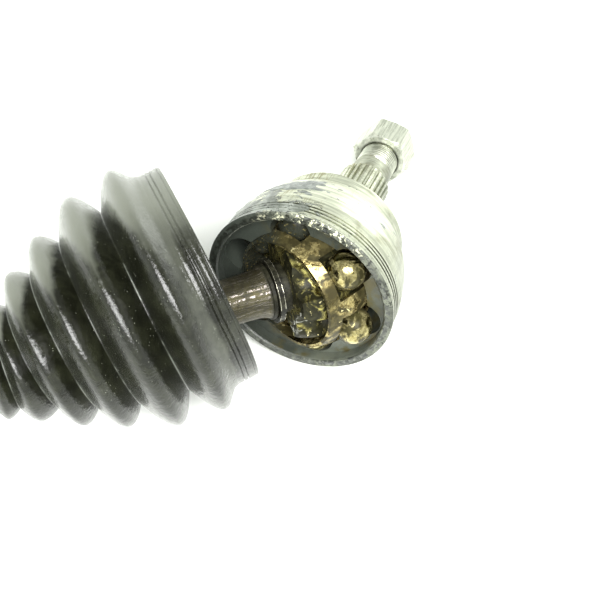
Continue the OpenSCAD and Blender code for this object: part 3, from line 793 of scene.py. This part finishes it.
def boot_ring(s, radius):
    """The ring of the outer boot at s: its neck is on the bar, and its folds lean away from it."""
    u = min(max((s + BOOT_BEND) / (2 * BOOT_BEND), 0.0), 1.0)
    lean = BOOT_LEAN * u * u * (3 - 2 * u)
    # the middle line is on the bar's axis before the hinge and on the leaning axis after it
    line = boot_way(BOOT_LEAN if s > 0 else 0.0)
    centre = BOOT_HINGE + line * (s * MM)
    axis = boot_way(lean)
    side = BOOT_UP.cross(axis).normalized()
    up = axis.cross(side)
    return centre, side, up, radius * MM


def boot_way(lean):
    """The direction that leans away from the bar by an angle."""
    return BAR_X * math.cos(lean) + BOOT_UP * math.sin(lean)


def boot_frame():
    axis = boot_way(BOOT_LEAN)
    return along(BOOT_HINGE, axis, BOOT_UP.cross(axis).normalized())


def make_outer_boot():
    outside = BOOT_NECK + folds(BOOT_FOLDS, 12) + CUFF
    inner_folds = [(s, r - BOOT_WALL) for s, r in folds(BOOT_FOLDS, 8)]
    inside = CUFF_INSIDE + inner_folds[::-1] + BOOT_NECK_INSIDE
    rings = [boot_ring(s, r) for s, r in outside + inside]
    boot = ring_tube("outer_boot_skin", rings, BOOT_AROUND)
    stations = [s for s, r in outside for k in range(BOOT_AROUND)]
    stations += [NOT_MARKED] * (len(inside) * BOOT_AROUND)
    mark_folds(boot, stations, BOOT_FOLDS, 0.2)
    for v in boot.data.vertices:
        wobble = noise.noise(v.co * SKIN_SCALE) * SKIN_WOBBLE
        v.co += (v.co - BOOT_HINGE).normalized() * (wobble - SKIN_BACK)
    boot.data.materials.append(rubber_material("boot_rubber", boot_frame(), SHEEN_BAND))
    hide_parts("outer_boot")
    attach(boot, "outer_boot")


# Inner boot, in millimetres along the bar. Its skin is split at one plane into a collar and a cone
INNER_SPLIT = 116.0
COLLAR_END = 84.0
CONE_END = 152.0
INNER_AROUND = 128
INNER_FOLDS = [
    (85.0, 43.0, "flat"), (92.0, 38.0, "valley"), (99.0, 43.0, "crest"), (106.0, 31.0, "valley"),
    (113.0, 38.5, "crest"), (120.0, 26.0, "valley"), (126.0, 33.0, "crest"), (132.0, 21.0, "valley"),
    (137.0, 26.5, "crest"), (142.0, 17.5, "valley"), (147.0, 15.4, "flat"),
]
COLLAR = [
    (64.6, 43.0), (65.2, 42.95), (75.8, 42.95), (76.4, 43.0), (80.0, 43.0), (83.5, 43.0),
]
COLLAR_INSIDE = [(81.0, 40.2), (79.4, 40.15), (79.3, 40.4)]
INNER_NECK = [(149.0, 15.3), (153.0, 15.35), (154.0, 15.4), (164.0, 15.4)]
# The neck's bore, and where the cone's inside reaches it
INNER_BORE_R = 12.05
INNER_BORE_START = 147.0
CONE_INSIDE_END = 145.0


def inner_ring(x, radius):
    return Vector((x * MM, 0, 0)), BAR_Y, BAR_Z, radius * MM


def make_inner_boot():
    """Two pieces that meet at one plane."""
    low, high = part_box("inner_boot")
    x0, x1 = low.x / MM, high.x / MM
    collar = [(x0, 40.6), (x0 + 0.1, 42.6), (x0 + 0.5, 43.0)] + COLLAR
    neck = INNER_NECK + [(x1 - 0.6, 15.4), (x1, 14.9), (x1, 12.4)]
    bore = [(x1 - 0.2, INNER_BORE_R), (INNER_BORE_START, INNER_BORE_R)]
    outer = folds(INNER_FOLDS, 10)
    # a ring of vertices has to lie in the plane where the two pieces meet
    outer = sorted(outer + [(INNER_SPLIT, interpolate(outer, INNER_SPLIT))])
    inner = [(x, r - BOOT_WALL) for x, r in outer]
    cone_inside = [p for p in inner if INNER_SPLIT <= p[0] < CONE_INSIDE_END]
    skin = rubber_material("inner_boot_rubber", BAR)
    pieces = {
        "inner_boot_collar": (
            collar + [p for p in outer if p[0] <= INNER_SPLIT],
            [p for p in inner if p[0] <= INNER_SPLIT][::-1] + COLLAR_INSIDE,
            "inner_housing", COLLAR_END,
        ),
        "inner_boot_cone": (
            [p for p in outer if p[0] >= INNER_SPLIT] + neck,
            bore + cone_inside[::-1],
            "shaft", CONE_END,
        ),
    }
    for name, (outside, inside, body, reach) in pieces.items():
        rings = [inner_ring(x, r) for x, r in outside + inside]
        piece = ring_tube(name, rings, INNER_AROUND)
        stations = [x for x, r in outside for k in range(INNER_AROUND)]
        stations += [NOT_MARKED] * (len(inside) * INNER_AROUND)
        mark_folds(piece, stations, INNER_FOLDS, 0.3)
        piece.data.materials.append(skin)
        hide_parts("inner_boot")
        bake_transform(piece)


# The thread at the end of the stub, in millimetres along the bell's axis: its ridges, how far
# they take to start and to end, and the inside of its sleeve, out of sight in the stub
THREAD_PITCH = 1.5
THREAD_ROOT = 9.6
THREAD_CREST = 10.0
THREAD_SHARPNESS = 2.6
THREAD_START = 0.8
THREAD_STOP = 0.5
THREAD_INSIDE = 9.2
THREAD_AROUND = 72
THREAD_STEPS = 8
THREAD_RUNS = {"stub_thread_inner": (91.6, 102.9), "stub_thread_end": (119.6, 121.2)}


def ring_on_bell(t, radii):
    """Points round the bell's axis, t and their radii in millimetres."""
    count = len(radii)
    turns = [2 * math.pi * k / count for k in range(count)]
    return [
        BELL @ Vector((t * MM, r * MM * math.cos(a), r * MM * math.sin(a))) for a, r in zip(turns, radii)
    ]


def thread_radius(t, fade, turn):
    """Radius of the thread at t, a share of one turn round."""
    phase = (t / THREAD_PITCH - turn) % 1.0
    ridge = max(0.0, 1.0 - abs(phase - 0.5) * THREAD_SHARPNESS)
    return THREAD_ROOT + (THREAD_CREST - THREAD_ROOT) * ridge * max(fade, 0.0)


def make_thread():
    material = steel("thread_steel", (0.42, 0.44, 0.36), (0.84, 0.86, 0.74), 0.28, BELL, 0.3)
    for name, (t0, t1) in THREAD_RUNS.items():
        steps = int((t1 - t0) / THREAD_PITCH * THREAD_STEPS)
        vertices, faces = [], []
        for i in range(steps + 1):
            t = t0 + (t1 - t0) * i / steps
            fade = min(1.0, (t - t0) / THREAD_START, (t1 - t) / THREAD_STOP)
            radii = [thread_radius(t, fade, k / THREAD_AROUND) for k in range(THREAD_AROUND)]
            vertices += ring_on_bell(t, radii)
        for t in (t1, t0):
            vertices += ring_on_bell(t, [THREAD_INSIDE] * THREAD_AROUND)
        count = steps + 3
        for i in range(count):
            j = (i + 1) % count
            for k in range(THREAD_AROUND):
                n = (k + 1) % THREAD_AROUND
                a, b = i * THREAD_AROUND, j * THREAD_AROUND
                faces.append((a + k, a + n, b + n, b + k))
        thread = new_object(name, vertices, faces)
        thread.data.materials.append(material)
        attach(thread, "bell")


# Grease that has built up into lumps, all in millimetres. On the dome: its outline under the
# steel's skin, the step along it, how deep it sinks between smears, how far smears stand up,
# how far it takes to come up at the rim end and to sink at the neck end, and its thickness
SMEAR_PROFILE = [(3.2, 43.27), (9, 42.3), (15, 41), (19, 39.8), (22.5, 38.4), (25.5, 36.5)]
SMEAR_STEP = 0.42
SMEAR_SUNK = -0.5
SMEAR_PROUD = 0.28
SMEAR_START = 1.0
SMEAR_STOP = 3.0
SMEAR_THICK = 0.9
SMEAR_AROUND = 420
# On the rim's front face: where the face is, the radii of the grit, and the same heights
RIM_FACE = -11.0
GRIT_R = 39.9
GRIT_WIDTH = 3.3
GRIT_STEPS = 10
GRIT_SUNK = -0.4
GRIT_PROUD = 0.24
GRIT_EDGE = 0.3
GRIT_THICK = 0.8
GRIT_AROUND = 480
# How fast the build-up changes: along the bell, and round it on the dome and on the rim
ROUGH_ALONG = 0.16
ROUGH_ROUND_DOME = 2.6
ROUGH_ROUND_RIM = 15.0


def rough_level(x, a, round_scale):
    """Uneven build-up along and round a turned part, from about -1 to 1."""
    place = Vector((x * ROUGH_ALONG, round_scale * math.cos(a), round_scale * math.sin(a)))
    octaves = ((1.0, 0.9), (2.3, 0.45), (5.1, 0.22))
    return sum(noise.noise(place * scale) * share for scale, share in octaves)


def sleeve(name, rows, around, material):
    """A closed sleeve round the bell. rows(a) gives its (t, r) points, out and then back."""
    columns = [rows(2 * math.pi * k / around) for k in range(around)]
    count = len(columns[0])
    vertices, faces = [], []
    for k, column in enumerate(columns):
        a = 2 * math.pi * k / around
        for t, r in column:
            vertices.append(BELL @ Vector((t * MM, r * MM * math.cos(a), r * MM * math.sin(a))))
    for k in range(around):
        n = (k + 1) % around
        for i in range(count):
            j = (i + 1) % count
            faces.append((k * count + i, k * count + j, n * count + j, n * count + i))
    piece = new_object(name, vertices, faces)
    piece.data.materials.append(material)
    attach(piece, "bell")


def dome_rows(a):
    """The smears on the dome at an angle round the bell: thicker on the smeared side."""
    smeared = BELL.to_3x3().inverted() @ Vector(SMEAR_SIDE)
    side = smeared.y * math.cos(a) + smeared.z * math.sin(a)
    start, end = SMEAR_PROFILE[0][0], SMEAR_PROFILE[-1][0]
    out, back = [], []
    t = start
    while t < end:
        fade = max(min(1.0, (t - start) / SMEAR_START, (end - t) / SMEAR_STOP), 0.0)
        level = rough_level(t, a, ROUGH_ROUND_DOME) + 0.55 * side - 0.42
        rise = max(SMEAR_SUNK, min(SMEAR_PROUD, level * 1.6))
        r = interpolate(SMEAR_PROFILE, t)
        out.append((t, r + SMEAR_SUNK + (rise - SMEAR_SUNK) * fade))
        back.append((t, r - SMEAR_THICK))
        t += SMEAR_STEP
    return out + back[::-1]


def rim_rows(a):
    """The grit on the rim's front face at an angle round the bell."""
    out, back = [], []
    for i in range(GRIT_STEPS + 1):
        r = GRIT_R + GRIT_WIDTH * i / GRIT_STEPS
        edge = min(1.0, i / 2, (GRIT_STEPS - i) / 2)
        level = rough_level(r * 3.0, a, ROUGH_ROUND_RIM)
        rise = max(GRIT_SUNK, min(GRIT_PROUD, 0.10 + level * 0.5)) * edge - GRIT_EDGE * (1 - edge)
        out.append((RIM_FACE - rise, r))
        back.append((RIM_FACE + GRIT_THICK, r))
    return out[::-1] + back


def make_bell_grease():
    """Smears on the dome and grit on the rim: they come up out of the steel only in patches."""
    smear = grease_material("bell_smears", (0.10, 0.115, 0.10), (0.27, 0.30, 0.265), 0.3)
    grit = grease_material(
        "rim_grit", (0.016, 0.019, 0.014), (0.10, 0.11, 0.082), 0.34, MOUTH_SHADE_SIDE, GLINT_SIDE
    )
    sleeve("bell_smears", dome_rows, SMEAR_AROUND, smear)
    sleeve("rim_grit", rim_rows, GRIT_AROUND, grit)


# Strings of grease on the race, each (angle, radius) at its ends, and how far it wanders
GREASE_STRINGS = [
    ((-118, 19.5), (-172, 21.0), 1.4), ((-170, 17.5), (-205, 20.5), 1.2),
    ((-140, 16.6), (-186, 16.8), 0.9), ((-150, 21.5), (-196, 22.0), 1.3),
    ((-96, 17.5), (-132, 18.0), 1.0),
]
STRING_STEPS = 60
STRING_SIDES = 8
# A string ends where the race falls away by more than this, and needs this many points
STRING_GAP = 1.2 * MM
STRING_MIN = 6
# It is laid on the race from this far in front of the joint's centre
STRING_FROM = 20.0 * MM


def lay_string(tree, number, start, end, wander):
    """Points (place, share of the length, unevenness) of one string on the race."""
    (a0, r0), (a1, r1) = start, end
    line = []
    for i in range(STRING_STEPS + 1):
        u = i / STRING_STEPS
        shake = [noise.noise(Vector((u * 9.0, number * 7.3, row))) for row in (0.4, 5.7, 9.2)]
        a = math.radians(a0 + (a1 - a0) * u + shake[0] * 5 * wander)
        r = (r0 + (r1 - r0) * u + shake[1] * 1.6 * wander) * MM
        from_point = Vector((CENTRE.x - STRING_FROM, r * math.cos(a), r * math.sin(a)))
        hit = tree.ray_cast(from_point, BAR_X)[0]
        if hit is not None:
            line.append((hit, u, shake[2]))
    for i in range(len(line) - 1, 0, -1):
        if (line[i][0] - line[i - 1][0]).length > STRING_GAP:
            line = line[:i] if i > len(line) / 2 else line[i:]
    return line


def make_grease_strings():
    race = NODES["outer_joint_inner_race"]
    places = [race.matrix_world @ v.co for v in race.data.vertices]
    tree = BVHTree.FromPolygons(places, [tuple(p.vertices) for p in race.data.polygons])
    vertices, faces = [], []
    for number, (start, end, wander) in enumerate(GREASE_STRINGS):
        line = lay_string(tree, number, start, end, wander)
        if len(line) < STRING_MIN:
            continue
        base = len(vertices)
        for i, (at, u, shake) in enumerate(line):
            before, after = line[max(i - 1, 0)][0], line[min(i + 1, len(line) - 1)][0]
            ahead = (after - before).normalized()
            side = ahead.cross(BAR_X).normalized()
            up = side.cross(ahead)
            # flattened, and thin at both ends
            thick = (0.22 + 0.16 * shake) * MM * math.sin(math.pi * (0.04 + 0.92 * u)) ** 0.4
            for k in range(STRING_SIDES):
                b = 2 * math.pi * k / STRING_SIDES
                offset = side * (thick * 1.3 * math.cos(b)) + up * (thick * 0.8 * math.sin(b))
                vertices.append(at + offset)
        for i in range(len(line) - 1):
            a, b = base + i * STRING_SIDES, base + (i + 1) * STRING_SIDES
            for k in range(STRING_SIDES):
                n = (k + 1) % STRING_SIDES
                faces.append((a + k, a + n, b + n, b + k))
        last = base + (len(line) - 1) * STRING_SIDES
        faces.append(tuple(base + k for k in range(STRING_SIDES))[::-1])
        faces.append(tuple(last + k for k in range(STRING_SIDES)))
    piece = new_object("race_grease", vertices, faces)
    pale = grease_material("race_grease", (0.10, 0.10, 0.07), (0.50, 0.51, 0.44), 0.25)
    piece.data.materials.append(pale)
    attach(piece, "shaft")


# ---- dressing the CAD nodes ----


def dress(material, *names):
    """Gives CAD nodes a material. Their meshes stay as they are."""
    for name in names:
        mesh = NODES[name].data
        mesh.materials.clear()
        mesh.materials.append(material)


make_camera()
floor = new_object(
    "floor",
    [Vector((x * FLOOR_HALF, y * FLOOR_HALF, FLOOR_Z)) for x, y in ((-1, -1), (1, -1), (1, 1), (-1, 1))],
    [(0, 1, 2, 3)],
    smooth=False,
)
floor.data.materials.append(floor_material())
make_light()
make_world()
bpy.context.scene.view_settings.view_transform = "Standard"

cage = oiled_material(
    "cage_oiled", (0.17, 0.125, 0.042), (0.64, 0.54, 0.24), CAGE, 0.2,
    film_colour=(0.035, 0.030, 0.012), film_share=0.49, lumps=0.5,
    darker_side=DARKER_CAGE, brown=BROWN_CAGE,
)
race = oiled_material(
    "race_oiled", (0.12, 0.095, 0.03), (0.66, 0.60, 0.20), BAR, 0.10,
    film_colour=(0.014, 0.0135, 0.006), film_share=0.565,
)
balls = oiled_material(
    "balls_oiled", (0.24, 0.20, 0.07), (0.62, 0.55, 0.27), CAGE, 0.05,
    film_colour=(0.030, 0.027, 0.010), film_share=0.46, lumps=0.45, darker_side=DARKER_BALLS,
)
bearing = steel(
    "bearing_steel", (0.42, 0.40, 0.34), (0.68, 0.67, 0.62), 0.18, BAR, 0.3, 0.1, (0.30, 0.22, 0.10)
)
spring = steel("spring_steel", (0.10, 0.10, 0.10), (0.28, 0.27, 0.25), 0.25, BAR, 0.3)
housing = steel(
    "housing_steel", (0.34, 0.33, 0.28), (0.62, 0.61, 0.54), 0.3, BAR, 1.0, 0.8, (0.24, 0.17, 0.09)
)
clamp = steel("clamp_strip", (0.55, 0.56, 0.52), (0.80, 0.80, 0.77), 0.2, BAR, 0.6, 0.2)

dress(bell_material(), "outer_joint_bell")
dress(bar_material(), "drive_shaft")
dress(cage, "outer_joint_cage")
dress(race, "outer_joint_inner_race")
dress(balls, *[f"ball_{i}" for i in range(1, 7)])
dress(nut_material(), "axle_nut")
dress(stop_ring_material(), "race_stop_ring")
dress(bearing, "tripod_spider", *[f"{n}_{i}" for n in ("roller", "needle_set") for i in (1, 2, 3)])
dress(spring, "race_snap_ring", "stub_circlip", "spider_circlip", "spider_stop_ring")
dress(spring, *[f"roller_clip_{i}" for i in (1, 2, 3)])
dress(housing, "inner_joint_housing")
dress(clamp, "inner_boot_large_clamp", "inner_boot_small_clamp")

make_outer_boot()
make_inner_boot()
make_thread()
make_bell_grease()
make_grease_strings()
